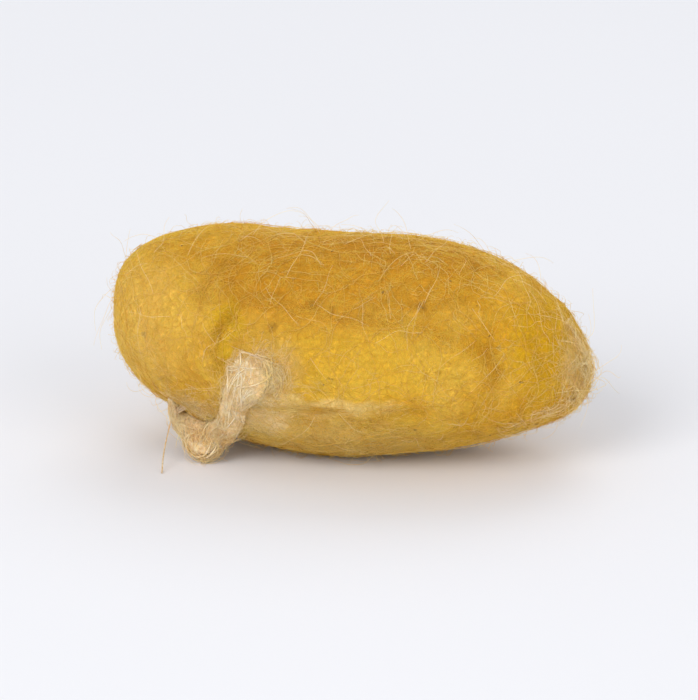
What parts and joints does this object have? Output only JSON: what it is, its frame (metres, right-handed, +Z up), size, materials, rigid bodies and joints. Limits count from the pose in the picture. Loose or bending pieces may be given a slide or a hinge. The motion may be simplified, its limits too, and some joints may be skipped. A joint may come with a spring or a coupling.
{
  "type": "silk cocoon",
  "caption": "Closed oval silk cocoon with one blunt and one slimmer end, soft lengthwise crumples and a small flat underside, lying on its side.",
  "frame": {"origin": "centre of the bounding box's base, level with the flat spot the cocoon lies on", "axes": "+X along the cocoon towards its slimmer end, +Z up, -Y towards the front, where the main folds are"},
  "size_m": [0.035, 0.0172, 0.0162],
  "materials": {
    "silk": "matte felted raw silk"
  },
  "bodies": {
    "root": {"cocoon": "silk"}
  },
  "joints": []
}
